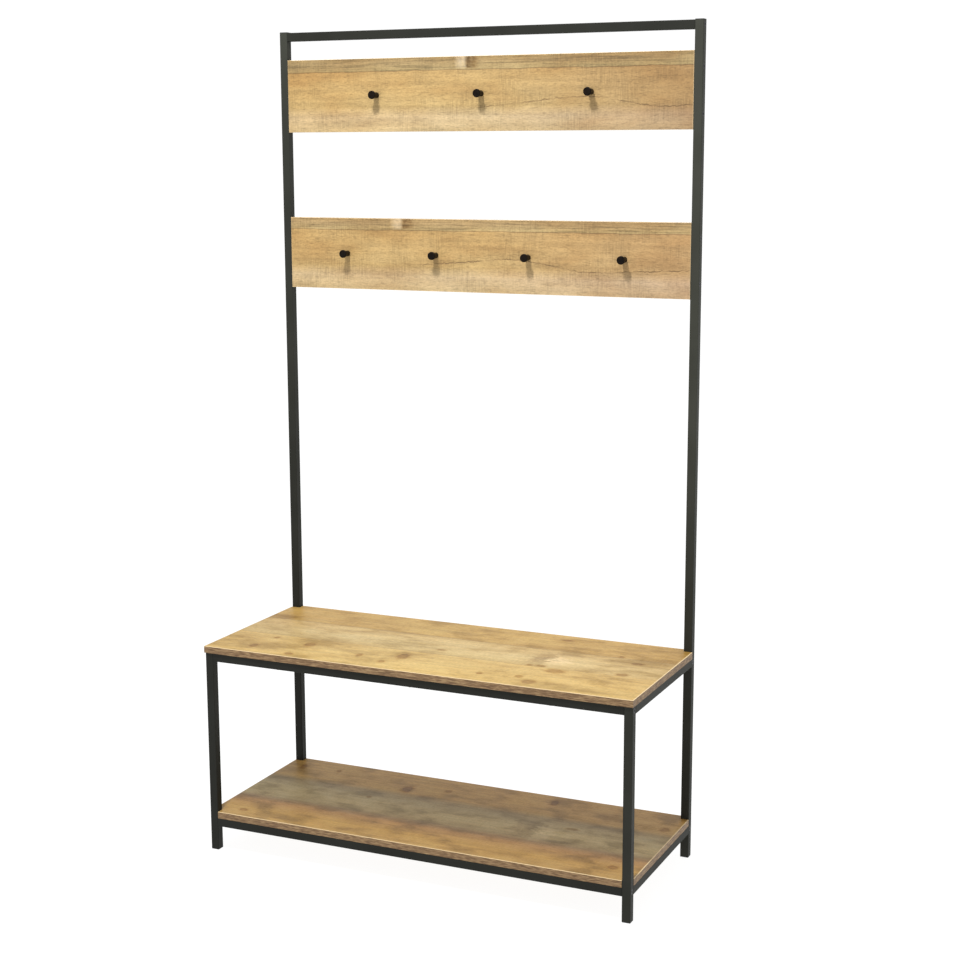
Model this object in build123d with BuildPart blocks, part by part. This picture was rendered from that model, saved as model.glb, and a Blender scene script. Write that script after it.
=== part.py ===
"""Entryway bench with a coat rack: square-tube steel frame, laminate boards, turned pegs.

Millimetres, +Z up, X along the width with the left-hand side at -X, -Y towards the sitter.
The origin is on the floor, under the middle of the whole bench.
"""
from build123d import *
import os

# ---- Frame -------------------------------------------------------------------------------
frame_width = 1000.0          # over the outer faces of the legs
frame_depth = 400.0           # front face of the front legs to rear face of the rear posts
frame_height = 1810.0         # top of the upper posts and of the top rail
tube_size = 19.0              # every tube is the same square section
tube_wall = 1.2
tube_corner = 1.6             # outside corner radius of the tube
seat_top_height = 473.0
shelf_top_height = 89.5
joint_drop = 274.0            # underside of the lower hook board down to the post joint

# ---- Boards ------------------------------------------------------------------------------
board_thickness = 15.0
board_edge_round = 0.8        # eased edges of every board
seat_front_overhang = 3.0     # past the front legs
seat_side_overhang = 1.5      # past the outer faces of the legs
board_rear_inset = 1.5        # seat and shelf stop this short of the posts' rear faces
notch_clearance = 0.5         # between a board's notch and the tube in it
hook_board_height = 160.0
hook_board_end_gap = 0.3      # between a hook board's end and the post
upper_board_drop = 61.0       # frame top down to the upper hook board's top edge
hook_board_spacing = 351.0    # upper hook board's bottom edge to the lower one's

# ---- Pegs --------------------------------------------------------------------------------
upper_peg_count = 3
upper_peg_pitch = 255.0
lower_peg_count = 4
lower_peg_pitch = 222.5
peg_neck_radius = 6.5
peg_neck_length = 20.0
peg_head_radius = 9.0
peg_head_length = 5.0
peg_head_front_round = 1.5
peg_head_back_round = 0.4
peg_bore_depth = 14.0

# ---- Fasteners ---------------------------------------------------------------------------
bolt_radius = 3.0
bolt_head_radius = 5.65       # of the countersunk head, flush with the tube
bolt_socket_across = 4.0      # flats of the hexagon socket
bolt_socket_depth = 1.8
bolt_hole_clearance = 0.25    # radial, where a bolt passes a tube wall
thread_clearance = 0.1        # radial, where threads engage
rail_nut_length = 12.0
insert_wall = 1.5             # of the threaded insert round the bolt
insert_length = 15.0
insert_clearance = 0.05       # radial, between insert and board
board_bolt_inset = 32.0       # from a hook board's top or bottom edge
peg_screw_radius = 2.0
peg_screw_reach = 10.0        # into the peg
wood_screw_radius = 1.75
wood_screw_tip_cover = 4.0    # board left above a screw's tip
screw_head_radius = 4.0
screw_head_height = 2.4
screw_head_round = 1.2
screw_recess_radius = 1.3
screw_recess_depth = 1.2
screw_hole_clearance = 0.25
board_screw_pitch = 320.0     # along a front or rear rail
board_screw_count = 3

# ---- Plugs, caps and sleeves -------------------------------------------------------------
plug_clearance = 0.2          # each side, inside a tube
plug_wall = 1.6
foot_plug_length = 12.0
cap_bolt_gap = 0.7            # between a post cap's skirt and the bolt head under it
cap_flange = 1.5
foot_flange = 2.0
flange_round = 0.6
sleeve_length = 120.0

# ---- Places that follow from the sizes above ---------------------------------------------
tube_inside = tube_size - 2 * tube_wall
tube_inside_corner = max(tube_corner - tube_wall, 0.3)
plug_size = tube_inside - 2 * plug_clearance
outer_x = frame_width / 2
inner_x = outer_x - tube_size
tube_x = outer_x - tube_size / 2
front_y = seat_front_overhang - (frame_depth + seat_front_overhang) / 2
rear_y = front_y + frame_depth
front_tube_y = front_y + tube_size / 2
rear_tube_y = rear_y - tube_size / 2
post_front_y = rear_y - tube_size
board_rear_y = rear_y - board_rear_inset

seat_board_bottom = seat_top_height - board_thickness
shelf_board_bottom = shelf_top_height - board_thickness
seat_rail_z = seat_board_bottom - tube_size / 2
shelf_rail_z = shelf_board_bottom - tube_size / 2
top_rail_z = frame_height - tube_size / 2

upper_board_bottom = frame_height - upper_board_drop - hook_board_height
lower_board_bottom = upper_board_bottom - hook_board_spacing
joint_height = lower_board_bottom - joint_drop
hook_board_length = 2 * (inner_x - hook_board_end_gap)
hook_board_y = post_front_y + board_thickness / 2
hook_board_back_y = post_front_y + board_thickness
upper_bolt_heights = [upper_board_bottom + board_bolt_inset,
                      upper_board_bottom + hook_board_height - board_bolt_inset]
lower_bolt_heights = [lower_board_bottom + board_bolt_inset,
                      lower_board_bottom + hook_board_height - board_bolt_inset]

bolt_hole_radius = bolt_radius + bolt_hole_clearance
bolt_head_depth = bolt_head_radius - bolt_radius   # of a 90 degree countersink
thread_bore_radius = bolt_radius + thread_clearance
insert_radius = bolt_radius + insert_wall
board_screw_reach = board_thickness - wood_screw_tip_cover
cap_plug_length = tube_size / 2 - bolt_head_radius - cap_bolt_gap

os.makedirs("parts", exist_ok=True)


def save(part, name):
    part.label = name
    export_step(part, f"parts/{name}.step")


def other_side(part):
    """The left-hand twin of a right-hand piece."""
    with BuildPart() as twin:
        mirror(part, about=Plane.YZ)
    return twin.part


def both_sides(part):
    """A right-hand group together with its left-hand twins."""
    with BuildPart() as pair:
        add(part)
        mirror(part, about=Plane.YZ)
    return pair.part


def centred_row(count, pitch):
    return [(index - (count - 1) / 2) * pitch for index in range(count)]


# ---- Tubes -------------------------------------------------------------------------------
def square_tube(start, length, size=tube_size, corner=tube_corner):
    """A square tube that starts on the given plane and runs along its normal."""
    inside = size - 2 * tube_wall
    with BuildPart() as tube:
        with BuildSketch(start):
            RectangleRounded(size, size, corner)
            RectangleRounded(inside, inside, max(corner - tube_wall, 0.3), mode=Mode.SUBTRACT)
        extrude(amount=length)
    return tube.part


def upright_tube(y, bottom, top):
    """A right-hand leg or post."""
    return square_tube(Plane(origin=(tube_x, y, bottom), z_dir=(0, 0, 1)), top - bottom)


def head_cones(places):
    """Cones of the countersunk bolt heads in the right-hand outer faces, at (y, z) places."""
    middle_x = outer_x - bolt_head_depth / 2
    with BuildPart() as cones:
        with Locations(*[Plane(origin=(middle_x, y, z), z_dir=(1, 0, 0)) for y, z in places]):
            Cone(bolt_radius, bolt_head_radius, bolt_head_depth)
    return cones.part


def bolt_holes(y, heights):
    """Holes along X through a right-hand leg or post, countersunk in its outer face."""
    places = [(y, z) for z in heights]
    with BuildPart() as holes:
        with BuildSketch(Plane.YZ.offset(inner_x)):
            with Locations(*places):
                Circle(bolt_hole_radius)
        extrude(amount=tube_size)
        add(head_cones(places))
    return holes.part


def front_leg():
    """Stands under the seat board; both front rails are bolted through it."""
    with BuildPart() as leg:
        add(upright_tube(front_tube_y, foot_flange, seat_board_bottom))
        add(bolt_holes(front_tube_y, [seat_rail_z, shelf_rail_z]), mode=Mode.SUBTRACT)
    return leg.part


def lower_post():
    """Runs from the floor past the seat to the post joint."""
    with BuildPart() as post:
        add(upright_tube(rear_tube_y, foot_flange, joint_height))
        add(bolt_holes(rear_tube_y, [seat_rail_z, shelf_rail_z]), mode=Mode.SUBTRACT)
    return post.part


def upper_post():
    """Stands on the lower post and carries the hook boards and the top rail."""
    with BuildPart() as post:
        add(upright_tube(rear_tube_y, joint_height, frame_height))
        add(bolt_holes(hook_board_y, upper_bolt_heights + lower_bolt_heights), mode=Mode.SUBTRACT)
        add(bolt_holes(rear_tube_y, [top_rail_z]), mode=Mode.SUBTRACT)
    return post.part


def post_sleeve():
    """Inner tube that lines the upper post up on the lower one."""
    start = Plane(origin=(tube_x, rear_tube_y, joint_height - sleeve_length / 2), z_dir=(0, 0, 1))
    return square_tube(start, sleeve_length, plug_size, tube_inside_corner)


def side_rail(height):
    """Right-hand rail, welded between the front leg and the rear post."""
    start = Plane(origin=(tube_x, front_y + tube_size, height), x_dir=(1, 0, 0), z_dir=(0, 1, 0))
    return square_tube(start, frame_depth - 2 * tube_size)


def long_rail(y, height):
    """Rail across the bench, between two legs or posts."""
    start = Plane(origin=(-inner_x, y, height), x_dir=(0, 1, 0), z_dir=(1, 0, 0))
    return square_tube(start, 2 * inner_x)


def board_rail(y, height):
    """Long rail under a board, bored through for the board's screws."""
    with BuildPart() as rail:
        add(long_rail(y, height))
        with BuildSketch(Plane.XY.offset(height - tube_size / 2)):
            with Locations(*[(x, y) for x in centred_row(board_screw_count, board_screw_pitch)]):
                Circle(wood_screw_radius + screw_hole_clearance)
        extrude(amount=tube_size, mode=Mode.SUBTRACT)
    return rail.part


for name, tube in {
    "front_{}_leg": front_leg(),
    "rear_{}_lower_post": lower_post(),
    "rear_{}_upper_post": upper_post(),
    "{}_post_sleeve": post_sleeve(),
    "{}_seat_side_rail": side_rail(seat_rail_z),
    "{}_shelf_side_rail": side_rail(shelf_rail_z),
}.items():
    save(tube, name.format("right"))
    save(other_side(tube), name.format("left"))

save(board_rail(front_tube_y, seat_rail_z), "seat_front_rail")
save(board_rail(rear_tube_y, seat_rail_z), "seat_rear_rail")
save(board_rail(front_tube_y, shelf_rail_z), "shelf_front_rail")
save(board_rail(rear_tube_y, shelf_rail_z), "shelf_rear_rail")
save(long_rail(rear_tube_y, top_rail_z), "top_rail")


# ---- Nuts, bolts and inserts along X -----------------------------------------------------
def rail_nuts(places):
    """Threaded blocks fixed in the ends of the long rails, at (y, z) places."""
    with BuildPart() as nuts:
        with BuildSketch(Plane.YZ.offset(inner_x)):
            with Locations(*places):
                Rectangle(plug_size, plug_size)
                Circle(thread_bore_radius, mode=Mode.SUBTRACT)
        extrude(amount=-rail_nut_length)
    return both_sides(nuts.part)


def flush_bolts(places, reach):
    """Countersunk socket bolts in the outer faces of the legs and posts, at (y, z) places."""
    with BuildPart() as bolts:
        with BuildSketch(Plane.YZ.offset(outer_x)):
            with Locations(*places):
                Circle(bolt_radius)
        extrude(amount=-(tube_size + reach))
        add(head_cones(places))
        with BuildSketch(Plane.YZ.offset(outer_x)):
            with Locations(*places):
                RegularPolygon(bolt_socket_across / 2, 6, major_radius=False)
        extrude(amount=-bolt_socket_depth, mode=Mode.SUBTRACT)
    return both_sides(bolts.part)


seat_rail_ends = [(front_tube_y, seat_rail_z), (rear_tube_y, seat_rail_z)]
shelf_rail_ends = [(front_tube_y, shelf_rail_z), (rear_tube_y, shelf_rail_z)]
top_rail_ends = [(rear_tube_y, top_rail_z)]
hook_board_ends = [(hook_board_y, z) for z in upper_bolt_heights + lower_bolt_heights]

save(rail_nuts(seat_rail_ends), "seat_rail_nuts")
save(rail_nuts(shelf_rail_ends), "shelf_rail_nuts")
save(rail_nuts(top_rail_ends), "top_rail_nuts")
save(flush_bolts(seat_rail_ends, rail_nut_length), "seat_rail_bolts")
save(flush_bolts(shelf_rail_ends, rail_nut_length), "shelf_rail_bolts")
save(flush_bolts(top_rail_ends, rail_nut_length), "top_rail_bolts")
save(flush_bolts(hook_board_ends, hook_board_end_gap + insert_length), "hook_board_bolts")


def hook_board_inserts():
    """Threaded inserts in the ends of the hook boards."""
    with BuildPart() as inserts:
        with BuildSketch(Plane.YZ.offset(hook_board_length / 2)):
            with Locations(*hook_board_ends):
                Circle(insert_radius)
                Circle(thread_bore_radius, mode=Mode.SUBTRACT)
        extrude(amount=-insert_length)
    return both_sides(inserts.part)


save(hook_board_inserts(), "hook_board_inserts")


# ---- Seat and shelf boards ---------------------------------------------------------------
def screw_places():
    """Where the screws come up through the front and rear rails."""
    row = centred_row(board_screw_count, board_screw_pitch)
    return [(x, y) for y in (front_tube_y, rear_tube_y) for x in row]


def seat_board():
    """Lies on the front legs and the seat rails, notched round the rear posts."""
    board_front_y = front_y - seat_front_overhang
    depth = board_rear_y - board_front_y
    notch_depth = tube_size + notch_clearance - board_rear_inset
    notch_width = tube_size + notch_clearance + seat_side_overhang
    with BuildPart() as board:
        with BuildSketch(Plane.XY.offset(seat_board_bottom)):
            with Locations((0, board_front_y + depth / 2)):
                Rectangle(frame_width + 2 * seat_side_overhang, depth)
            for side in (-1, 1):
                with Locations((side * (outer_x + seat_side_overhang - notch_width / 2),
                                board_rear_y - notch_depth / 2)):
                    Rectangle(notch_width, notch_depth, mode=Mode.SUBTRACT)
        extrude(amount=board_thickness)
        fillet(board.faces().sort_by(Axis.Z)[-1].edges(), board_edge_round)
        with BuildSketch(Plane.XY.offset(seat_board_bottom)):
            with Locations(*screw_places()):
                Circle(wood_screw_radius + thread_clearance)
        extrude(amount=board_screw_reach, mode=Mode.SUBTRACT)
    return board.part


def shelf_board():
    """Lies on the shelf rails, notched round all four legs."""
    depth = board_rear_y - front_y
    notch_width = tube_size + notch_clearance
    rear_notch_depth = notch_width - board_rear_inset
    with BuildPart() as board:
        with BuildSketch(Plane.XY.offset(shelf_board_bottom)):
            with Locations((0, front_y + depth / 2)):
                Rectangle(frame_width, depth)
            for side in (-1, 1):
                with Locations((side * (outer_x - notch_width / 2), front_y + notch_width / 2)):
                    Rectangle(notch_width, notch_width, mode=Mode.SUBTRACT)
                with Locations((side * (outer_x - notch_width / 2), board_rear_y - rear_notch_depth / 2)):
                    Rectangle(notch_width, rear_notch_depth, mode=Mode.SUBTRACT)
        extrude(amount=board_thickness)
        fillet(board.faces().sort_by(Axis.Z)[-1].edges(), board_edge_round)
        with BuildSketch(Plane.XY.offset(shelf_board_bottom)):
            with Locations(*screw_places()):
                Circle(wood_screw_radius + thread_clearance)
        extrude(amount=board_screw_reach, mode=Mode.SUBTRACT)
    return board.part


def board_screws(rail_z):
    """Pan-head screws up through the front and rear rails into a board."""
    rail_bottom = rail_z - tube_size / 2
    with BuildPart() as screws:
        with BuildSketch(Plane.XY.offset(rail_bottom)):
            with Locations(*screw_places()):
                Circle(screw_head_radius)
        extrude(amount=-screw_head_height)
        fillet(screws.edges().group_by(Axis.Z)[0], screw_head_round)
        with BuildSketch(Plane.XY.offset(rail_bottom - screw_head_height)):
            with Locations(*screw_places()):
                Circle(screw_recess_radius)
        extrude(amount=screw_recess_depth, mode=Mode.SUBTRACT)
        with BuildSketch(Plane.XY.offset(rail_bottom)):
            with Locations(*screw_places()):
                Circle(wood_screw_radius)
        extrude(amount=tube_size + board_screw_reach)
    return screws.part


save(seat_board(), "seat_board")
save(shelf_board(), "shelf_board")
save(board_screws(seat_rail_z), "seat_board_screws")
save(board_screws(shelf_rail_z), "shelf_board_screws")


# ---- Hook boards and pegs ----------------------------------------------------------------
upper_peg_places = [(x, upper_board_bottom + hook_board_height / 2)
                    for x in centred_row(upper_peg_count, upper_peg_pitch)]
lower_peg_places = [(x, lower_board_bottom + hook_board_height / 2)
                    for x in centred_row(lower_peg_count, lower_peg_pitch)]


def facing(y):
    """Plane at y that faces the sitter, with X to the right and Z up."""
    return Plane(origin=(0, y, 0), x_dir=(1, 0, 0), z_dir=(0, -1, 0))


def hook_board(bottom, bolt_heights, peg_places):
    """Stands between the posts, flush with their front faces."""
    with BuildPart() as board:
        with BuildSketch(facing(hook_board_back_y)):
            with Locations((0, bottom + hook_board_height / 2)):
                Rectangle(hook_board_length, hook_board_height)
        extrude(amount=board_thickness)
        fillet(board.faces().sort_by(Axis.Y)[0].edges(), board_edge_round)
        with BuildSketch(facing(hook_board_back_y)):
            with Locations(*peg_places):
                Circle(peg_screw_radius + screw_hole_clearance)
        extrude(amount=board_thickness, mode=Mode.SUBTRACT)
        for side in (-1, 1):
            with BuildSketch(Plane.YZ.offset(side * hook_board_length / 2)):
                with Locations(*[(hook_board_y, z) for z in bolt_heights]):
                    Circle(insert_radius + insert_clearance)
            extrude(amount=-side * insert_length, mode=Mode.SUBTRACT)
    return board.part


def peg(place):
    """Turned knob: a plain neck and a wider rounded head, tapped from the back."""
    with BuildPart() as knob:
        with BuildSketch(facing(post_front_y - peg_neck_length)):
            with Locations(place):
                Circle(peg_head_radius)
        extrude(amount=peg_head_length)
        fillet(knob.edges().group_by(Axis.Y)[0], peg_head_front_round)
        fillet(knob.edges().group_by(Axis.Y)[-1], peg_head_back_round)
        with BuildSketch(facing(post_front_y)):
            with Locations(place):
                Circle(peg_neck_radius)
        extrude(amount=peg_neck_length)
        with BuildSketch(facing(post_front_y)):
            with Locations(place):
                Circle(peg_screw_radius + thread_clearance)
        extrude(amount=peg_bore_depth, mode=Mode.SUBTRACT)
    return knob.part


def peg_screws(places):
    """Pan-head machine screws through the hook boards from behind."""
    with BuildPart() as screws:
        with BuildSketch(facing(hook_board_back_y)):
            with Locations(*places):
                Circle(screw_head_radius)
        extrude(amount=-screw_head_height)
        fillet(screws.edges().group_by(Axis.Y)[-1], screw_head_round)
        with BuildSketch(facing(hook_board_back_y + screw_head_height)):
            with Locations(*places):
                Circle(screw_recess_radius)
        extrude(amount=screw_recess_depth, mode=Mode.SUBTRACT)
        with BuildSketch(facing(hook_board_back_y)):
            with Locations(*places):
                Circle(peg_screw_radius)
        extrude(amount=board_thickness + peg_screw_reach)
    return screws.part


save(hook_board(upper_board_bottom, upper_bolt_heights, upper_peg_places), "upper_hook_board")
save(hook_board(lower_board_bottom, lower_bolt_heights, lower_peg_places), "lower_hook_board")
for number, place in enumerate(upper_peg_places, start=1):
    save(peg(place), f"upper_peg_{number}")
for number, place in enumerate(lower_peg_places, start=1):
    save(peg(place), f"lower_peg_{number}")
save(peg_screws(upper_peg_places + lower_peg_places), "peg_screws")


# ---- Caps and feet -----------------------------------------------------------------------
def tube_plug(y, end, flange, skirt, up):
    """Moulded plug in a tube's end: a flange as wide as the tube and a hollow square skirt.

    up is 1 for a plug in a top end and -1 for one in a bottom end.
    """
    outward = Plane(origin=(tube_x, y, end), x_dir=(1, 0, 0), z_dir=(0, 0, up))
    with BuildPart() as plug:
        with BuildSketch(outward):
            RectangleRounded(tube_size, tube_size, tube_corner)
        extrude(amount=flange)
        fillet(plug.faces().sort_by(Axis.Z)[-1 if up > 0 else 0].edges(), flange_round)
        with BuildSketch(outward):
            Rectangle(plug_size, plug_size)
            Rectangle(plug_size - 2 * plug_wall, plug_size - 2 * plug_wall, mode=Mode.SUBTRACT)
        extrude(amount=-skirt)
    return plug.part


for name, plug in {
    "{}_post_cap": tube_plug(rear_tube_y, frame_height, cap_flange, cap_plug_length, 1),
    "front_{}_foot": tube_plug(front_tube_y, foot_flange, foot_flange, foot_plug_length, -1),
    "rear_{}_foot": tube_plug(rear_tube_y, foot_flange, foot_flange, foot_plug_length, -1),
}.items():
    save(plug, name.format("right"))
    save(other_side(plug), name.format("left"))
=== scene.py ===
import bmesh
import bpy
from math import cos, radians, sin, sqrt
from mathutils import Matrix, Vector


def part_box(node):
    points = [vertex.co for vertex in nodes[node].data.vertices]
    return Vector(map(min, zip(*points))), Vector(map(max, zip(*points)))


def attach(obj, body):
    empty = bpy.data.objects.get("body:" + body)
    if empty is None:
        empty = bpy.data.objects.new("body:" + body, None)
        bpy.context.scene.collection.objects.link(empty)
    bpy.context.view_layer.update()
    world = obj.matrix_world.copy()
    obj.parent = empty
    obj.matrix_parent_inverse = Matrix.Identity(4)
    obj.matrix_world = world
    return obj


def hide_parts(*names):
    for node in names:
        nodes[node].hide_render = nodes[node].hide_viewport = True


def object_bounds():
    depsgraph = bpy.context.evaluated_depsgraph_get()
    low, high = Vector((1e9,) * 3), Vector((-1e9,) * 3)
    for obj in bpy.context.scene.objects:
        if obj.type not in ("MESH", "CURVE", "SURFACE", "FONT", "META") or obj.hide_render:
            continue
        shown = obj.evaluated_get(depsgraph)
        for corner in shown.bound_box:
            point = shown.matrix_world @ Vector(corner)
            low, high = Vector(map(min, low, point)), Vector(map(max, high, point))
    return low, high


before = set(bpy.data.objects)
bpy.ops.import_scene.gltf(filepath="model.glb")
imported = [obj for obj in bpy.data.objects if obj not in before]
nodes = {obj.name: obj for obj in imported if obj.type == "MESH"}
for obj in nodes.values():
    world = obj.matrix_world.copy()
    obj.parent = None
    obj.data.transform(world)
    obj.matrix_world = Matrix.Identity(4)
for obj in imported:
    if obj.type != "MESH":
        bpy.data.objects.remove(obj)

cad_low, cad_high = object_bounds()


# ---- Legs, posts and side rails ----------------------------------------------------------
# Mild steel tube, 19 mm square with a 1.2 mm wall, cut to length and welded into two side
# frames. Each rear post is in two lengths that meet about half way up. The frames are
# powder coated after welding.
def linear(hex_code):
    """The linear colour of an sRGB hex value."""
    parts = [int(hex_code[i:i + 2], 16) / 255 for i in (1, 3, 5)]
    return [c / 12.92 if c <= 0.04045 else ((c + 0.055) / 1.055) ** 2.4 for c in parts] + [1.0]


def add(tree, kind, inputs=None, stops=None, **settings):
    """Adds a node with its settings, values and links.

    A link is given as the node or the socket to read. stops are the places and colours of a ramp.
    """
    new = tree.nodes.new(kind)
    for name, value in settings.items():
        setattr(new, name, value)
    for key, value in (inputs or {}).items():
        found = [s for s in new.inputs if s.identifier == key]
        socket = found[0] if found else new.inputs[key]
        if isinstance(value, bpy.types.Node):
            value = next(s for s in value.outputs if s.enabled)
        if isinstance(value, bpy.types.NodeSocket):
            tree.links.new(value, socket)
        else:
            socket.default_value = value
    if stops:
        ramp = new.color_ramp.elements
        while len(ramp) < len(stops):
            ramp.new(1.0)
        for element, (place, colour) in zip(ramp, stops):
            element.position = place
            element.color = linear(colour)
    return new


def rescale(tree, value, first, last, low=0.0, high=1.0, **settings):
    """Lays a value's range from first to last onto low to high, and holds it there outside."""
    return add(tree, "ShaderNodeMapRange", {"Value": value, "From Min": first, "From Max": last,
               "To Min": low, "To Max": high}, **settings)


def maths(tree, operation, first, second=0.0):
    """One step of arithmetic on one or two numbers."""
    return add(tree, "ShaderNodeMath", {0: first, 1: second}, operation=operation)


def noise(tree, place, size_mm, detail):
    """Blotches of about this size."""
    return add(tree, "ShaderNodeTexNoise", {"Vector": place, "Scale": 1000 / size_mm, "Detail": detail})


def new_material(name):
    """An empty material with its shader and a reader of the piece's own coordinates."""
    material = bpy.data.materials.new(name)
    material.use_nodes = True
    tree = material.node_tree
    tree.nodes.clear()
    output = tree.nodes.new("ShaderNodeOutputMaterial")
    shader = tree.nodes.new("ShaderNodeBsdfPrincipled")
    tree.links.new(shader.outputs[0], output.inputs[0])
    place = tree.nodes.new("ShaderNodeTexCoord").outputs["Object"]
    return material, tree, shader, place


def feed(tree, shader, colour, gloss, bump=None):
    """Links the shader's colour, its roughness and, where the surface has them, its bumps."""
    tree.links.new(colour, shader.inputs["Base Color"])
    tree.links.new(gloss.outputs[0], shader.inputs["Roughness"])
    if bump:
        tree.links.new(bump.outputs[0], shader.inputs["Normal"])


def finish_nodes(material, *names):
    """Puts one material on CAD nodes."""
    for name in names:
        nodes[name].data.materials.clear()
        nodes[name].data.materials.append(material)


# Powder coat on steel: polyester powder sprayed dry and baked. It flows into low bumps, the
# orange peel, which break up every highlight, and it dries a little unevenly in broad patches.
# It is matt, so it mirrors less than a plain plastic would. Its colour is painted deeper low down on the
# left and lighter high up on the right: painted shade and painted light.
def powder_coat(name, shade_and_light_levels):
    """Charcoal powder coat with painted shade and light. Its three levels are its strength low on the
    left, half way, and high on the right.
    """
    peel_mm, patch_mm = 1.5, 110.0
    lower, middle, upper = shade_and_light_levels
    material, tree, shader, place = new_material(name)
    peel = noise(tree, place, peel_mm, 2.0)
    patches = noise(tree, place, patch_mm, 3.0)
    coat = add(tree, "ShaderNodeValToRGB", {"Fac": patches}, [(0.35, "#2a2b25"), (0.65, "#30312b")])
    speckle = rescale(tree, peel, 0.0, 1.0, 0.88, 1.12)
    # The climb is X plus Z, in metres. The tone rises along it in two steps, with a level between:
    # painted shade low on the left, painted light high on the right.
    climb = add(tree, "ShaderNodeVectorMath", {0: place, 1: (1.0, 0.0, 1.0)}, operation="DOT_PRODUCT")
    climb = climb.outputs["Value"]
    tone = rescale(tree, climb, -0.25, 0.75, lower, middle)
    gain = rescale(tree, climb, 1.1, 1.4, 0.0, upper - middle)
    tone = maths(tree, "ADD", tone, gain)
    tone = maths(tree, "MULTIPLY", tone, speckle)
    coat = add(tree, "ShaderNodeVectorMath", {0: coat, "Scale": tone}, operation="SCALE")
    gloss = rescale(tree, peel, 0.0, 1.0, 0.5, 0.64)
    bump = add(tree, "ShaderNodeBump", {"Height": peel, "Strength": 0.3, "Distance": 0.0002})
    feed(tree, shader, coat.outputs[0], gloss, bump)
    shader.inputs["IOR"].default_value = 1.5
    shader.inputs["Specular IOR Level"].default_value = 0.15
    return material


finish_nodes(
    powder_coat("powder_coated_steel_side_frames", (0.5, 0.88, 1.3)),
    "front_left_leg", "front_right_leg",
    "rear_left_lower_post", "rear_right_lower_post",
    "rear_left_upper_post", "rear_right_upper_post",
    "left_seat_side_rail", "right_seat_side_rail",
    "left_shelf_side_rail", "right_shelf_side_rail",
)

# ---- Post sleeves, rail nuts and board inserts -------------------------------------------
# Hidden steel: a short square tube inside each post joint, a threaded block fixed in each end
# of every long rail, and a threaded insert in the board ends. Electro zinc plated, which
# leaves fine crystal flecks of lighter and darker grey.
zinc_plate, tree, shader, place = new_material("electro_zinc_plated_steel")
FLECK_MM = 1.2
flecks = add(tree, "ShaderNodeTexVoronoi", {"Vector": place, "Scale": 1000 / FLECK_MM})
fleck = flecks.outputs["Color"]
tone = add(tree, "ShaderNodeValToRGB", {"Fac": fleck}, [(0.0, "#989b9c"), (1.0, "#bcbebb")])
gloss = rescale(tree, fleck, 0.0, 1.0, 0.28, 0.42)
feed(tree, shader, tone.outputs[0], gloss)
shader.inputs["Metallic"].default_value = 1.0

finish_nodes(
    zinc_plate,
    "left_post_sleeve", "right_post_sleeve",
    "seat_rail_nuts", "shelf_rail_nuts", "top_rail_nuts", "hook_board_inserts",
)

# ---- Long rails and top rail -------------------------------------------------------------
# The same square tube and the same coat, made darker all over as painted shade. They run between
# the side frames and are bolted through them.
finish_nodes(
    powder_coat("powder_coated_steel_rails", (0.56, 0.56, 0.56)),
    "seat_front_rail", "seat_rear_rail", "shelf_front_rail", "shelf_rear_rail", "top_rail",
)


# ---- Seat board --------------------------------------------------------------------------
# Particle board, 15 mm, faced with a printed paper laminate and edged with a printed plastic
# band. The print shows three planks side by side, with knots, dull patches and a butt joint.
def overlay(tree, kind, share, under, over):
    """Lays one colour over another, by this share."""
    return add(tree, "ShaderNodeMix", {"Factor_Float": share, "A_Color": under, "B_Color": over},
               data_type="RGBA", blend_type=kind).outputs[2]


def add_butt_joint(tree, colour, figure, x_axis, over, butt):
    """Two planks end to end: a dark smudge on one side of the joint, pale end grain on the other."""
    x, first, last, dark_side, strength, reach, blur = butt
    seam_blur = 0.003
    drift = rescale(tree, figure(22, 14, 4.0), 0.0, 1.0, x - blur, x + blur)
    side = maths(tree, "SUBTRACT", x_axis, drift)
    side = rescale(tree, side, -reach * dark_side, reach * dark_side)
    smudge = add(tree, "ShaderNodeValToRGB", {"Fac": side}, [
        (0.12, "#ffffff"), (0.34, "#fffaf0"), (0.44, "#fffaf0"),
        (0.54, "#a08c74"), (0.68, "#c4b49e"), (0.82, "#ffffff")])
    end_grain = add(tree, "ShaderNodeValToRGB", {"Fac": side}, [
        (0.2, "#000000"), (0.34, "#78746a"), (0.45, "#78746a"), (0.52, "#000000")])
    begin = rescale(tree, over, first, first + seam_blur + blur)
    stop = rescale(tree, over, last, last - seam_blur - blur)
    ragged = rescale(tree, figure(9, 5), 0.35, 0.6, 0.55)
    within = maths(tree, "MULTIPLY", begin, stop)
    within = maths(tree, "MULTIPLY", within, ragged)
    within = maths(tree, "MULTIPLY", within, strength)
    colour = overlay(tree, "MULTIPLY", within, colour, smudge)
    return overlay(tree, "ADD", within, colour, end_grain)


def add_knots(tree, colour, place, across, knots):
    """Ragged ovals with a darker ring and a lighter heart."""
    over_y, over_z = (1, 0) if across == "Y" else (0, 1)
    ragged_mm = 11
    ragged = noise(tree, place, ragged_mm, 4.0)
    # Distances are in half lengths and half widths, and the noise makes them ragged.
    spots = 0.0
    for x, y, half_length, half_width in knots:
        scale = (1 / half_length, over_y / half_width, over_z / half_width)
        shift = (-x / half_length, -y * over_y / half_width, -y * over_z / half_width)
        oval = add(tree, "ShaderNodeMapping", {"Vector": place, "Scale": scale, "Location": shift})
        far = add(tree, "ShaderNodeVectorMath", {0: oval}, operation="LENGTH").outputs["Value"]
        rim = maths(tree, "ADD", far, ragged)
        spot = rescale(tree, rim, 1.9, 0.5, interpolation_type="SMOOTHSTEP")
        spots = maths(tree, "MAXIMUM", spots, spot)
    knot = add(tree, "ShaderNodeValToRGB", {"Fac": spots}, [
        (0.0, "#ffffff"), (0.4, "#eadfc4"), (0.62, "#c6b48b"), (1.0, "#d8c8a2")])
    return overlay(tree, "MULTIPLY", 1.0, colour, knot)


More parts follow.
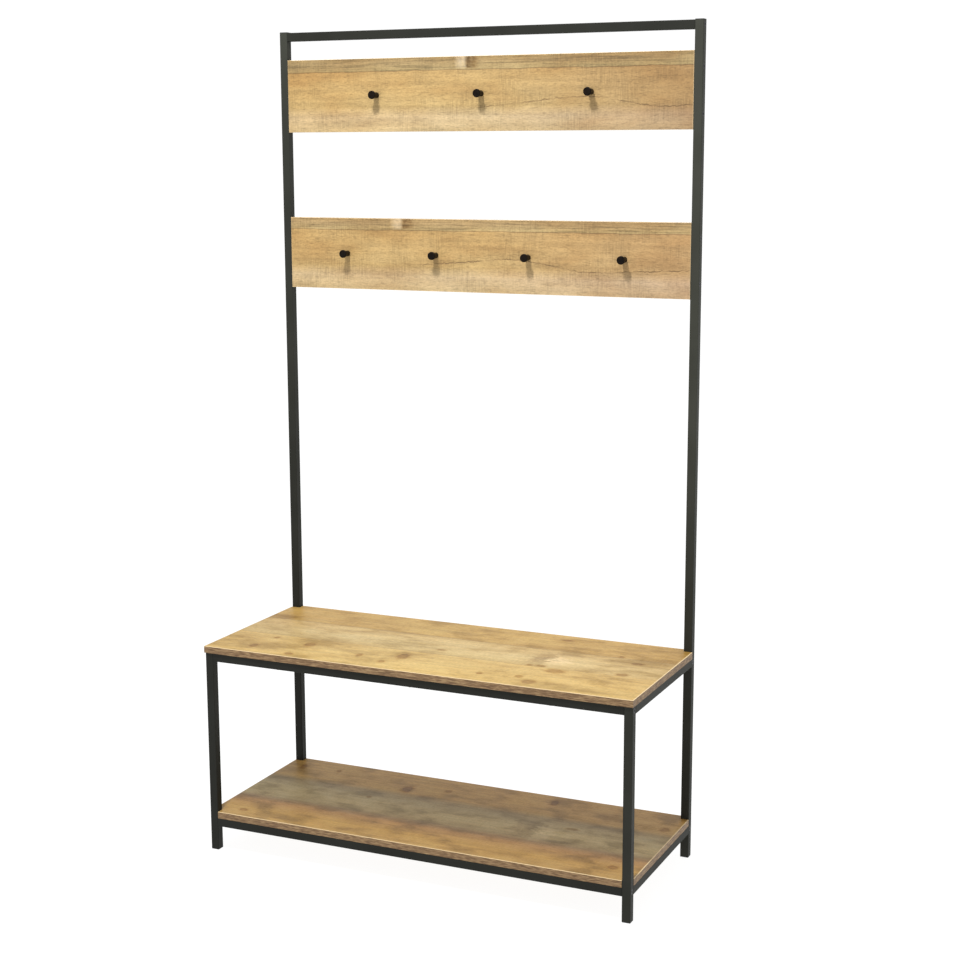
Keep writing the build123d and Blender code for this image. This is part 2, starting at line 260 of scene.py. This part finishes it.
def add_crack(tree, colour, figure, along, over_axis, low, high, path):
    """A thin dark line that follows a drawn path, trembles and breaks up.

    path holds shares of the board's length and of the way from low to high.
    """
    tremble_reach, half_width, core = 0.004, 0.0015, 0.0004
    fade_in, fade_out = 0.06, 0.02
    drawn = add(tree, "ShaderNodeFloatCurve", {"Value": along})
    points = drawn.mapping.curves[0].points
    for _ in path[2:]:
        points.new(0.5, 0.5)
    for point, spot in zip(points, path):
        point.location = spot
    drawn.mapping.update()
    line = rescale(tree, drawn, 0.0, 1.0, low, high)
    tremble = rescale(tree, figure(9, 400, 4.0), 0.0, 1.0, -tremble_reach, tremble_reach)
    line = maths(tree, "ADD", line, tremble)
    away = maths(tree, "SUBTRACT", over_axis, line)
    away = maths(tree, "ABSOLUTE", away)
    thin = rescale(tree, away, half_width, core)
    (start, _), (end, _) = path[0], path[-1]
    begin = rescale(tree, along, start, start + fade_in)
    stop = rescale(tree, along, end, end - fade_out)
    gaps = rescale(tree, figure(30, 60), 0.36, 0.56, 0.15, 0.85)
    seen = maths(tree, "MULTIPLY", begin, stop)
    seen = maths(tree, "MULTIPLY", seen, gaps)
    seen = maths(tree, "MULTIPLY", seen, thin)
    return overlay(tree, "MIX", seen, colour, linear("#5f4930"))


def add_edge_band(tree, colour, place, across, squareness):
    """Browner band with short light and dark fibres. Also gives where the flat face is.

    The band is trimmed flush with the face by a cutter, which leaves a pale line on the arris.
    That line is partly the pale cut and partly a painted highlight on the rounded edge.
    """
    fibre_mm = {"Y": (15, 15, 1.5), "Z": (15, 1.5, 15)}[across]
    scale = tuple(1000 / size for size in fibre_mm)
    stretch = add(tree, "ShaderNodeMapping", {"Vector": place, "Scale": scale})
    fibre = add(tree, "ShaderNodeTexNoise", {"Vector": stretch, "Scale": 1.0, "Detail": 4.0})
    band = add(tree, "ShaderNodeValToRGB", {"Fac": fibre}, [
        (0.32, "#5f4734"), (0.46, "#775d40"), (0.6, "#937756"), (0.74, "#ab9168")])
    is_band = rescale(tree, squareness, 0.35, 0.15)
    colour = overlay(tree, "MIX", is_band, colour, band)
    # Pale line on the rounded arris: partly the trimmed band, partly a painted highlight.
    is_round = rescale(tree, squareness, 0.97, 0.9)
    not_band = maths(tree, "SUBTRACT", 1.0, is_band)
    arris = maths(tree, "MULTIPLY", is_round, not_band)
    return overlay(tree, "MIX", arris, colour, linear("#ecd2a8")), not_band


def laminate(name, face, across, low, high, planks, ends, dull_mm, dull, dulling=0.85,
             saw_marks=0.07, dashes=0.14, knots=(), cracks=(), butts=(), streaky_from=None,
             rim_x=None):
    """Wood-print laminate for a board whose length runs along X.

    The printed faces look along the face axis and the planks lie side by side on the across
    axis, between low and high in metres. planks are colour stops from low to high, and ends
    are tint stops from the left end of the board to the right. dull_mm and dull are the size
    and the tint of the dull patches. knots are (x, across, half length, half width) in metres.
    cracks are lists of (share along, share across). butts are joints between two planks end to
    end, (x, low, high, dark side, strength, reach, blur). streaky_from is where a last plank
    with dark streaks begins. rim_x is the end of a board whose band shows as a pale line round
    the face, partly the band's pale cut and partly a painted highlight on the arris.
    """
    material, tree, shader, place = new_material(name)
    axes = add(tree, "ShaderNodeSeparateXYZ", {"Vector": place})
    normal = add(tree, "ShaderNodeNewGeometry").outputs["Normal"]
    facing = add(tree, "ShaderNodeSeparateXYZ", {"Vector": normal})
    squareness = maths(tree, "ABSOLUTE", facing.outputs[face])

    def figure(along_mm, over_mm, detail=3.0):
        """Noise whose marks are this long along the planks and this wide across them."""
        lengthways, crossways = 1000 / along_mm, 1000 / over_mm
        scale = (lengthways, crossways, 1.0) if across == "Y" else (lengthways, 1.0, crossways)
        stretch = add(tree, "ShaderNodeMapping", {"Vector": place, "Scale": scale})
        return add(tree, "ShaderNodeTexNoise", {"Vector": stretch, "Scale": 1.0, "Detail": detail})

    # Planks: a colour for each with a dark seam between, and the seam wanders a little.
    seam_wander, streak_blur = 0.003, 0.002
    wander = rescale(tree, figure(60, 300), 0.0, 1.0, -seam_wander, seam_wander)
    over = maths(tree, "ADD", axes.outputs[across], wander)
    share = rescale(tree, over, low, high)
    plank = add(tree, "ShaderNodeValToRGB", {"Fac": share}, planks)
    along = rescale(tree, axes.outputs["X"], cad_low[0], cad_high[0])
    tint = add(tree, "ShaderNodeValToRGB", {"Fac": along}, ends)
    tinted = 1.0
    if streaky_from:
        is_streaky = rescale(tree, over, streaky_from, streaky_from + streak_blur)
        tinted = maths(tree, "SUBTRACT", 1.0, is_streaky)
    colour = overlay(tree, "MULTIPLY", tinted, plank, tint)

    # Broad dull patches, and narrower bands of summer and winter growth.
    dulled = add(tree, "ShaderNodeValToRGB", {"Fac": figure(*dull_mm, 4.0)},
                 [(0.34, dull), (0.5, "#f6f1e8"), (0.62, "#ffffff")])
    colour = overlay(tree, "MULTIPLY", dulling, colour, dulled)
    growth = rescale(tree, figure(210, 9, 5.0), 0.3, 0.7, 0.86, 1.1)
    # Pores: short dark dashes, drawn 2 mm wide where the real ones are about 0.5 mm.
    pore = rescale(tree, figure(14, 2.0, 2.0), 0.52, 0.66, 1.0, 1.0 - dashes)
    # Saw marks: faint lines straight across the planks, about 3 mm apart, which come and go.
    cut = rescale(tree, figure(3, 38, 2.0), 0.35, 0.65)
    here = rescale(tree, figure(75, 45), 0.42, 0.58)
    marked = maths(tree, "MULTIPLY", cut, here)
    saw = rescale(tree, marked, 0.0, 1.0, 1.0, 1.0 - saw_marks)
    relief = maths(tree, "MULTIPLY", pore, saw)
    # Printed grain: even fine speckle, drawn 4 mm across where the print's dots are far smaller.
    dots = rescale(tree, figure(5, 3.5, 2.0), 0.3, 0.7, 0.9, 1.1)
    growth = maths(tree, "MULTIPLY", growth, dots)
    tone = maths(tree, "MULTIPLY", relief, growth)
    if streaky_from:
        streak = rescale(tree, figure(130, 3.5, 4.0), 0.5, 0.62, 1.0, 0.68)
        mask = add(tree, "ShaderNodeMix",
                   {"Factor_Float": is_streaky, "A_Float": 1.0, "B_Float": streak}, data_type="FLOAT")
        tone = maths(tree, "MULTIPLY", tone, mask)
    colour = add(tree, "ShaderNodeVectorMath", {0: colour, "Scale": tone}, operation="SCALE").outputs[0]

    for butt in butts:
        colour = add_butt_joint(tree, colour, figure, axes.outputs["X"], over, butt)
    if knots:
        colour = add_knots(tree, colour, place, across, knots)
    for path in cracks:
        colour = add_crack(tree, colour, figure, along, axes.outputs[across], low, high, path)
    colour, not_band = add_edge_band(tree, colour, place, across, squareness)

    # The trimmed band's edge: a pale line about 2 mm wide along the front and the right end. It is
    # partly the band's pale cut and partly a painted highlight on the arris.
    if rim_x:
        line_fades, line_full = 0.0026, 0.0014
        front = rescale(tree, axes.outputs[across], low + line_fades, low + line_full)
        end = rescale(tree, axes.outputs["X"], rim_x - line_fades, rim_x - line_full)
        rim = maths(tree, "MAXIMUM", front, end)
        rim = maths(tree, "MULTIPLY", rim, not_band)
        colour = overlay(tree, "MIX", rim, colour, linear("#dec598"))

    bump = add(tree, "ShaderNodeBump", {"Height": relief, "Strength": 0.3, "Distance": 0.0004})
    gloss = rescale(tree, relief, 0.8, 1.0, 0.6, 0.46)
    feed(tree, shader, colour, gloss, bump)
    shader.inputs["IOR"].default_value = 1.46
    shader.inputs["Specular IOR Level"].default_value = 0.3
    return material


seat_low, seat_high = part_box("seat_board")
finish_nodes(
    laminate(
        "wood_print_laminate_seat", "Z", "Y", seat_low.y, seat_high.y,
        planks=[(0.0, "#c7aa67"), (0.364, "#c4a769"), (0.371, "#aa9260"), (0.378, "#bda46d"),
                (0.5, "#c5ae7b"), (0.683, "#bfa36c"), (0.69, "#978052"), (0.697, "#b59555"),
                (1.0, "#bb9a59")],
        ends=[(0.0, "#f0eae0"), (0.4, "#ffffff"), (1.0, "#fffaf2")],
        knots=[(-0.404, -0.150, 0.012, 0.017), (-0.292, -0.097, 0.015, 0.020),
               (-0.300, -0.180, 0.012, 0.010), (-0.154, -0.127, 0.010, 0.012),
               (-0.061, -0.098, 0.016, 0.026), (-0.086, -0.152, 0.010, 0.012),
               (0.143, -0.150, 0.008, 0.009), (0.227, -0.137, 0.010, 0.011),
               (0.260, -0.166, 0.018, 0.017), (0.281, -0.072, 0.026, 0.018),
               (0.239, -0.047, 0.014, 0.010), (0.214, -0.050, 0.009, 0.008),
               (0.421, -0.041, 0.016, 0.011), (0.424, 0.047, 0.016, 0.010),
               (0.374, 0.085, 0.008, 0.007), (-0.007, -0.019, 0.012, 0.007),
               (0.218, 0.163, 0.017, 0.008), (-0.389, -0.075, 0.008, 0.009)],
        butts=[(0.238, -0.058, 0.066, -1, 0.75, 0.09, 0.05)],
        dull_mm=(95, 42), dull="#c9bd98", rim_x=seat_high.x,
    ),
    "seat_board",
)

# ---- Shelf board -------------------------------------------------------------------------
# The same board and band. Its print has a brown, a grey and a golden plank.
shelf_low, shelf_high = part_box("shelf_board")
finish_nodes(
    laminate(
        "wood_print_laminate_shelf", "Z", "Y", shelf_low.y, shelf_high.y,
        planks=[(0.0, "#b59457"), (0.13, "#b08e4c"), (0.26, "#9e7b4c"), (0.305, "#967b54"),
                (0.36, "#bdab7f"), (0.45, "#c8b88b"), (0.58, "#b3a47e"), (0.645, "#a5936d"),
                (0.71, "#bb9a5c"), (1.0, "#bf9c61")],
        ends=[(0.0, "#f3efe6"), (0.5, "#f8f3ea"), (1.0, "#f8f1e6")],
        knots=[(-0.435, -0.162, 0.014, 0.010), (-0.157, 0.105, 0.015, 0.026),
               (-0.063, 0.130, 0.010, 0.012), (-0.215, 0.024, 0.008, 0.007),
               (0.190, 0.158, 0.012, 0.022), (0.472, 0.102, 0.014, 0.014),
               (-0.455, 0.145, 0.012, 0.018), (0.285, 0.024, 0.018, 0.008),
               (-0.362, 0.150, 0.008, 0.010), (0.44, -0.140, 0.014, 0.012)],
        butts=[(0.215, -0.085, 0.060, -1, 0.45, 0.09, 0.05)],
        dull_mm=(85, 48), dull="#bdb496", rim_x=shelf_high.x,
    ),
    "shelf_board",
)

# ---- Hook boards -------------------------------------------------------------------------
# The same board, 160 mm tall, bolted between the posts flush with their fronts. The print has
# a narrow streaky grey plank along the top, a honey one in the middle and a paler foot, with
# saw marks and one long wandering crack. The lower board is cut from further along the print.
SEAM_HALF = 0.008              # half the dark seam's width, as a share of the board's height
# Each entry is the seam's share of the height, the butt joint's x, the tints from the left end
# to the right, the narrow plank's colours from the seam up, and the crack's path.
hook_board_prints = {
    "upper_hook_board": (
        0.820, -0.034, ("#e7e5e2", "#e8ebf0", "#cbc4c9"), ("#a18c61", "#9c855d", "#957d53"),
        [(0.46, 0.30), (0.60, 0.375), (0.70, 0.43), (0.76, 0.435), (0.84, 0.36), (0.915, 0.30),
         (1.0, 0.345)],
    ),
    "lower_hook_board": (
        0.838, -0.195, ("#f2f2f3", "#f2f3f8", "#e6e2f1"), ("#b29a6b", "#ac9166", "#a5895c"),
        [(0.33, 0.355), (0.45, 0.41), (0.58, 0.465), (0.66, 0.40), (0.75, 0.32), (0.85, 0.34),
         (1.0, 0.385)],
    ),
}
for name, (seam, butt_x, tints, strip, crack) in hook_board_prints.items():
    board_low, board_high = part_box(name)
    seam_z = board_low.z + seam * (board_high.z - board_low.z)
    finish_nodes(
        laminate(
            "wood_print_laminate_" + name, "Y", "Z", board_low.z, board_high.z,
            planks=[(0.0, "#cbb182"), (0.2, "#cfb58a"), (0.34, "#c6a871"),
                    (seam - SEAM_HALF, "#c19f67"), (seam, "#8c7048"), (seam + SEAM_HALF, strip[0]),
                    (0.94, strip[1]), (1.0, strip[2])],
            ends=list(zip((0.0, 0.5, 1.0), tints)),
            dull_mm=(170, 55), dull="#d8c6b0", dulling=0.55, saw_marks=0.2, dashes=0.24,
            cracks=[crack],
            butts=[(butt_x, seam_z, board_high.z + 0.01, 1, 0.9, 0.05, 0.004)],
            streaky_from=seam_z,
        ),
        name,
    )


# ---- Bolts -------------------------------------------------------------------------------
# M6 countersunk steel bolts with a 4 mm hexagon socket, driven from outside through the legs
# and posts into the rails and hook boards. Their heads lie flush. They are blackened in hot
# oxide salts.
def turned_tree(name, sizes, corners, material, cutter=None):
    """A tree that turns an outline into a solid and sets one on every point of the input.

    sizes are the names of its inputs. corners go from the axis at the top to the axis at the
    bottom, each as the names of its radius, height and rounding, or None for nothing. Each
    point's facing says which way the top looks. cutter adds the nodes of what is cut out of the top.
    """
    arc_steps, sides, axis_radius, weld = 6, 48, 0.00001, 0.00003
    tree = bpy.data.node_groups.new(name, "GeometryNodeTree")
    tree.interface.new_socket("Places", in_out="INPUT", socket_type="NodeSocketGeometry")
    for size in sizes:
        tree.interface.new_socket(size, in_out="INPUT", socket_type="NodeSocketFloat")
    tree.interface.new_socket("Pieces", in_out="OUTPUT", socket_type="NodeSocketGeometry")
    given = tree.nodes.new("NodeGroupInput").outputs
    number = add(tree, "GeometryNodeInputIndex")
    spots = add(tree, "GeometryNodeIndexSwitch", {"Index": number}, data_type="VECTOR")
    rounds = add(tree, "GeometryNodeIndexSwitch", {"Index": number}, data_type="FLOAT")
    for index, (radius, height, rounding) in enumerate(corners):
        if index > 1:
            spots.index_switch_items.new()
            rounds.index_switch_items.new()
        links = {key: given[size] for key, size in (("X", radius), ("Y", height)) if size}
        tree.links.new(add(tree, "ShaderNodeCombineXYZ", links).outputs[0], spots.inputs[index + 1])
        if rounding:
            tree.links.new(given[rounding], rounds.inputs[index + 1])
    line = add(tree, "GeometryNodeMeshLine", {"Count": len(corners)})
    line = add(tree, "GeometryNodeSetPosition", {"Geometry": line, "Position": spots})
    line = add(tree, "GeometryNodeStoreNamedAttribute",
               {"Geometry": line, "Name": "rounding", "Value": rounds}, data_type="FLOAT", domain="POINT")
    outline = add(tree, "GeometryNodeMeshToCurve", {"Mesh": line})
    rounding = add(tree, "GeometryNodeInputNamedAttribute", {"Name": "rounding"}, data_type="FLOAT")
    outline = add(tree, "GeometryNodeFilletCurve",
                  {"Curve": outline, "Radius": rounding, "Limit Radius": True}, mode="POLY")
    outline.inputs["Count"].default_value = arc_steps
    # The sweep turns heights upside down, so the outline is turned over first.
    outline = add(tree, "GeometryNodeTransform", {"Geometry": outline, "Scale": (1.0, -1.0, 1.0)})
    # The outline is swept round a circle so small that it counts as the axis.
    axis = add(tree, "GeometryNodeCurvePrimitiveCircle", {"Resolution": sides, "Radius": axis_radius})
    solid = add(tree, "GeometryNodeCurveToMesh", {"Curve": axis, "Profile Curve": outline})
    solid = add(tree, "GeometryNodeMergeByDistance", {"Geometry": solid, "Distance": weld})
    if cutter:
        solid = add(tree, "GeometryNodeMeshBoolean", {"Mesh 1": solid, "Mesh 2": cutter(tree, given)},
                    operation="DIFFERENCE", solver="EXACT")
    way = add(tree, "GeometryNodeInputNamedAttribute", {"Name": "facing"}, data_type="FLOAT_VECTOR")
    turn = add(tree, "FunctionNodeAlignRotationToVector", {"Vector": way}, axis="Z")
    pieces = add(tree, "GeometryNodeInstanceOnPoints",
                 {"Points": given["Places"], "Instance": solid, "Rotation": turn})
    pieces = add(tree, "GeometryNodeRealizeInstances", {"Geometry": pieces})
    pieces = add(tree, "GeometryNodeSetMaterial", {"Geometry": pieces, "Material": material})
    add(tree, "NodeGroupOutput", {0: pieces})
    return tree


def set_out(name, tree, sizes, places, slot, *replaced):
    """Runs a tree on (place, facing) pairs and keeps what it makes as one plain mesh."""
    weld, sharpest_round = 0.000002, radians(32)
    points = bpy.data.meshes.new(name)
    points.from_pydata([place for place, facing in places], [], [])
    points.attributes.new("facing", "FLOAT_VECTOR", "POINT")
    for point, (place, facing) in zip(points.attributes["facing"].data, places):
        point.vector = facing
    piece = bpy.data.objects.new(name, points)
    bpy.context.scene.collection.objects.link(piece)
    modifier = piece.modifiers.new(name, "NODES")
    modifier.node_group = tree
    for socket in tree.interface.items_tree:
        if socket.in_out == "INPUT" and socket.name in sizes:
            modifier[socket.identifier] = sizes[socket.name]
    finished = piece.evaluated_get(bpy.context.evaluated_depsgraph_get())
    made = bpy.data.meshes.new_from_object(finished)
    piece.modifiers.clear()
    piece.data = made
    shape = bmesh.new()
    shape.from_mesh(made)
    bmesh.ops.remove_doubles(shape, verts=shape.verts, dist=weld)
    bmesh.ops.recalc_face_normals(shape, faces=shape.faces)
    shape.to_mesh(made)
    shape.free()
    made.polygons.foreach_set("use_smooth", [True] * len(made.polygons))
    made.set_sharp_from_angle(angle=sharpest_round)
    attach(piece, "root")
    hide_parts(*replaced)


def hexagon_socket(tree, given):
    """A hexagon prism, as deep below the head's top as above it."""
    size = maths(tree, "DIVIDE", given["Socket Across"], sqrt(3))
    depth = maths(tree, "MULTIPLY", given["Socket Depth"], 2.0)
    return add(tree, "GeometryNodeMeshCylinder", {"Vertices": 6, "Radius": size, "Depth": depth})


# Black oxide: a blue-black conversion of the steel itself, so it keeps the metal's sheen, with
# a thin film of oil that leaves it glossier in places.
black_oxide, tree, shader, place = new_material("black_oxide_steel")
OIL_MM = 2.5
oil = noise(tree, place, OIL_MM, 3.0)
tone = add(tree, "ShaderNodeValToRGB", {"Fac": oil}, [(0.35, "#26262a"), (0.65, "#37373a")])
gloss = rescale(tree, oil, 0.3, 0.7, 0.32, 0.5)
feed(tree, shader, tone.outputs[0], gloss)
shader.inputs["Metallic"].default_value = 1.0

bolt_tree = turned_tree(
    "countersunk_bolt", ["Head Radius", "Rim", "Cone End", "Shank Radius", "Shank End", "Edge Round",
                         "Socket Across", "Socket Depth"],
    [(None, None, None), ("Head Radius", None, "Edge Round"), ("Head Radius", "Rim", None),
     ("Shank Radius", "Cone End", None), ("Shank Radius", "Shank End", "Edge Round"),
     (None, "Shank End", None)],
    black_oxide, hexagon_socket,
)
outer_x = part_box("front_right_leg")[1].x
BOLT_HEAD_RADIUS = 0.00565
BOLT_SHANK_RADIUS = 0.0029
SUNK = 0.0001                  # the head lies this deep in its countersink
bolt_places = {}
for name in ("seat_rail_bolts", "shelf_rail_bolts", "top_rail_bolts"):
    low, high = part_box(name)
    across_depth = sorted({round(low.y + BOLT_HEAD_RADIUS, 4), round(high.y - BOLT_HEAD_RADIUS, 4)})
    bolt_places[name] = [(y, (low.z + high.z) / 2) for y in across_depth]
low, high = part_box("hook_board_bolts")
inset = low.z + BOLT_HEAD_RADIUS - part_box("lower_hook_board")[0].z
edges = [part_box(name) for name in ("upper_hook_board", "lower_hook_board")]
bolt_places["hook_board_bolts"] = [((low.y + high.y) / 2, z) for bottom, top in edges
                                   for z in (bottom.z + inset, top.z - inset)]
for name, rows in bolt_places.items():
    tip_x = min(point.co.x for point in nodes[name].data.vertices if point.co.x > 0)
    set_out(
        "countersunk_" + name, bolt_tree,
        {"Head Radius": BOLT_HEAD_RADIUS - SUNK, "Rim": -0.0003,
         "Cone End": BOLT_SHANK_RADIUS - BOLT_HEAD_RADIUS, "Shank Radius": BOLT_SHANK_RADIUS,
         "Shank End": tip_x - outer_x, "Edge Round": 0.00015, "Socket Across": 0.004,
         "Socket Depth": 0.0018},
        [((side * (outer_x - SUNK), y, z), (side, 0, 0)) for side in (-1, 1) for y, z in rows],
        "blackened_bolts", name,
    )

# ---- Pegs --------------------------------------------------------------------------------
# Seven turned knobs with a plain neck and a wider head, rounded at the front. They are
# dipped in black-brown enamel, which runs smooth and leaves soft highlights.
peg_enamel, tree, shader, place = new_material("black_brown_baked_enamel")
FLOW_MM = 4.0
flow = noise(tree, place, FLOW_MM, 2.0)
tone = add(tree, "ShaderNodeValToRGB", {"Fac": flow}, [(0.35, "#0e0b08"), (0.65, "#17110d")])
gloss = rescale(tree, flow, 0.0, 1.0, 0.3, 0.46)
bump = add(tree, "ShaderNodeBump", {"Height": flow, "Strength": 0.15, "Distance": 0.0002})
feed(tree, shader, tone.outputs[0], gloss, bump)
shader.inputs["IOR"].default_value = 1.52
shader.inputs["Specular IOR Level"].default_value = 0.06

peg_tree = turned_tree(
    "turned_peg", ["Head Radius", "Head Front", "Head Back", "Neck Radius", "Front Round",
                   "Back Round", "Throat Round"],
    [(None, "Head Front", None), ("Head Radius", "Head Front", "Front Round"),
     ("Head Radius", "Head Back", "Back Round"), ("Neck Radius", "Head Back", "Throat Round"),
     ("Neck Radius", None, None), (None, None, None)],
    peg_enamel,
)
PEG_HEAD_LENGTH = 0.005
peg_names = [name for name in sorted(nodes) if "_peg_" in name]
for name in peg_names:
    low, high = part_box(name)
    middle = (low + high) / 2
    peg_length = high.y - low.y
    set_out(
        "turned_" + name, peg_tree,
        {"Head Radius": (high.x - low.x) / 2, "Head Front": peg_length,
         "Head Back": peg_length - PEG_HEAD_LENGTH, "Neck Radius": 0.0065, "Front Round": 0.0016,
         "Back Round": 0.0004, "Throat Round": 0.0008},
        [((middle.x, high.y, middle.z), (0, -1, 0))],
        "peg_enamel", name,
    )


# ---- Screws ------------------------------------------------------------------------------
# Pan-head screws with a cross recess: seven M4 machine screws through the hook boards into
# the pegs, and twelve wood screws up through the rails into the seat and the shelf. They are
# zinc plated like the nuts.
def cross_recess(tree, given):
    """Two crossed bars, as deep below the head's top as above it."""
    depth = maths(tree, "MULTIPLY", given["Recess Depth"], 2.0)
    size = add(tree, "ShaderNodeCombineXYZ",
               {"X": given["Recess Across"], "Y": given["Recess Width"], "Z": depth})
    bar = add(tree, "GeometryNodeMeshCube", {"Size": size})
    crossed = add(tree, "GeometryNodeTransform", {"Geometry": bar, "Rotation": (0.0, 0.0, radians(90))})
    cross = add(tree, "GeometryNodeMeshBoolean", {"Mesh 2": bar}, operation="UNION", solver="EXACT")
    tree.links.new(crossed.outputs[0], cross.inputs["Mesh 2"])
    raised = add(tree, "ShaderNodeCombineXYZ", {"Z": given["Head Top"]})
    return add(tree, "GeometryNodeTransform", {"Geometry": cross, "Translation": raised})


screw_tree = turned_tree(
    "pan_head_screw", ["Head Radius", "Head Top", "Head Round", "Shank Radius", "Shank End", "Point",
                       "Recess Across", "Recess Width", "Recess Depth"],
    [(None, "Head Top", None), ("Head Radius", "Head Top", "Head Round"), ("Head Radius", None, None),
     ("Shank Radius", None, None), ("Shank Radius", "Point", None), (None, "Shank End", None)],
    zinc_plate, cross_recess,
)
SCREW_HEAD = {"Head Radius": 0.004, "Head Top": 0.0024, "Head Round": 0.0014,
              "Recess Across": 0.0042, "Recess Width": 0.0009, "Recess Depth": 0.0013}
MACHINE_SCREW_CHAMFER = 0.001
WOOD_SCREW_POINT = 0.003
board_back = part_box("upper_hook_board")[1].y
reach = board_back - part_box("peg_screws")[0].y
peg_middles = [(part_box(name)[0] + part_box(name)[1]) / 2 for name in peg_names]
set_out(
    "cross_head_peg_screws", screw_tree,
    {**SCREW_HEAD, "Shank Radius": 0.002, "Point": MACHINE_SCREW_CHAMFER - reach, "Shank End": -reach},
    [((middle.x, board_back, middle.z), (0, 1, 0)) for middle in peg_middles],
    "zinc_plated_steel", "peg_screws",
)
for name, rail in (("seat_board_screws", "seat_front_rail"), ("shelf_board_screws", "shelf_front_rail")):
    low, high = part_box(name)
    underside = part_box(rail)[0].z
    inset = SCREW_HEAD["Head Radius"]
    shank_end = underside - high.z
    set_out(
        "cross_head_" + name, screw_tree,
        {**SCREW_HEAD, "Shank Radius": 0.00175, "Point": shank_end + WOOD_SCREW_POINT,
         "Shank End": shank_end},
        [((x, y, underside), (0, 0, -1))
         for x in (low.x + inset, (low.x + high.x) / 2, high.x - inset)
         for y in (low.y + inset, high.y - inset)],
        "zinc_plated_steel", name,
    )

# ---- Caps and feet -----------------------------------------------------------------------
# Injection moulded black polypropylene plugs pressed into the tube ends. The mould was spark
# eroded, which leaves a fine even pitting and a dull sheen.
black_plastic, tree, shader, place = new_material("moulded_black_polypropylene")
PIT_MM = 0.6
pits = noise(tree, place, PIT_MM, 3.0)
tone = add(tree, "ShaderNodeValToRGB", {"Fac": pits}, [(0.35, "#1d1d1c"), (0.65, "#282827")])
gloss = rescale(tree, pits, 0.0, 1.0, 0.46, 0.62)
bump = add(tree, "ShaderNodeBump", {"Height": pits, "Strength": 0.3, "Distance": 0.0001})
feed(tree, shader, tone.outputs[0], gloss, bump)
shader.inputs["IOR"].default_value = 1.49
shader.inputs["Specular IOR Level"].default_value = 0.3
finish_nodes(black_plastic, *[name for name in nodes if name.endswith(("_foot", "_cap"))])

# ---- Floor, light and camera -------------------------------------------------------------
# A wide light table: opal glass lit evenly from below, so that it takes no shadow, under a
# white sky that is dimmer on the right. One soft lamp hangs above the front of the bench.
FLOOR_HALF = 40
floor_mesh = bpy.data.meshes.new("floor")
corners = [(x * FLOOR_HALF, y * FLOOR_HALF, 0) for x, y in ((-1, -1), (1, -1), (1, 1), (-1, 1))]
floor_mesh.from_pydata(corners, [], [(0, 1, 2, 3)])
floor = bpy.data.objects.new("floor", floor_mesh)
bpy.context.scene.collection.objects.link(floor)
floor_paint, tree, shader, place = new_material("lit_opal_glass_floor")
mottle = add(tree, "ShaderNodeTexNoise", {"Vector": place, "Scale": 3.0})
paint = add(tree, "ShaderNodeValToRGB", {"Fac": mottle}, [(0.0, "#6a6a69"), (1.0, "#6d6d6c")])
tree.links.new(paint.outputs[0], shader.inputs["Base Color"])
shader.inputs["Roughness"].default_value = 0.9
shader.inputs["Specular IOR Level"].default_value = 0.1
shader.inputs["Emission Color"].default_value = (1.0, 1.0, 1.0, 1.0)
shader.inputs["Emission Strength"].default_value = 0.93
floor_mesh.materials.append(floor_paint)

sky = bpy.data.worlds.new("white_sky")
sky.use_nodes = True
tree = sky.node_tree
way = tree.nodes.new("ShaderNodeTexCoord").outputs["Generated"]
bright_side = (-0.7, 0.71, 0.0)
toward = add(tree, "ShaderNodeVectorMath", {0: way, 1: bright_side}, operation="DOT_PRODUCT")
glow = rescale(tree, toward.outputs["Value"], 0.35, 0.78, 0.72, 1.04, interpolation_type="SMOOTHSTEP")
tree.links.new(glow.outputs[0], tree.nodes["Background"].inputs["Strength"])
tree.nodes["Background"].inputs["Color"].default_value = (1.0, 1.0, 1.0, 1.0)
bpy.context.scene.world = sky

lamp_data = bpy.data.lights.new("soft_lamp", "AREA")
lamp_data.shape = "DISK"
lamp_data.size = 0.4
lamp_data.energy = 93.0
lamp = bpy.data.objects.new("soft_lamp", lamp_data)
lamp.location = (-0.16, -1.3, 3.65)
lamp_aim = Vector((0.0, 0.1, 0.9)) - Vector(lamp.location)
lamp.rotation_euler = lamp_aim.to_track_quat("-Z", "Y").to_euler()
bpy.context.scene.collection.objects.link(lamp)

bpy.context.scene.view_settings.view_transform = "Standard"

camera_data = bpy.data.cameras.new("camera")
camera_data.sensor_fit = "HORIZONTAL"
camera_data.sensor_width = 36.0
camera_data.lens = 66.865
camera = bpy.data.objects.new("camera", camera_data)
YAW, PITCH, ROLL = 0.42284, 0.18310, -0.00258
forward = Vector((-sin(YAW) * cos(PITCH), cos(YAW) * cos(PITCH), -sin(PITCH)))
right = Vector((cos(YAW), sin(YAW), 0.0))
up = right.cross(forward)
right, up = cos(ROLL) * right + sin(ROLL) * up, -sin(ROLL) * right + cos(ROLL) * up
turn = Matrix((right, up, -forward)).transposed()
CAMERA_PLACE = (1.64458, -3.45588, 1.54448)
camera.matrix_world = Matrix.Translation(CAMERA_PLACE) @ turn.to_4x4()
bpy.context.scene.collection.objects.link(camera)
bpy.context.scene.camera = camera
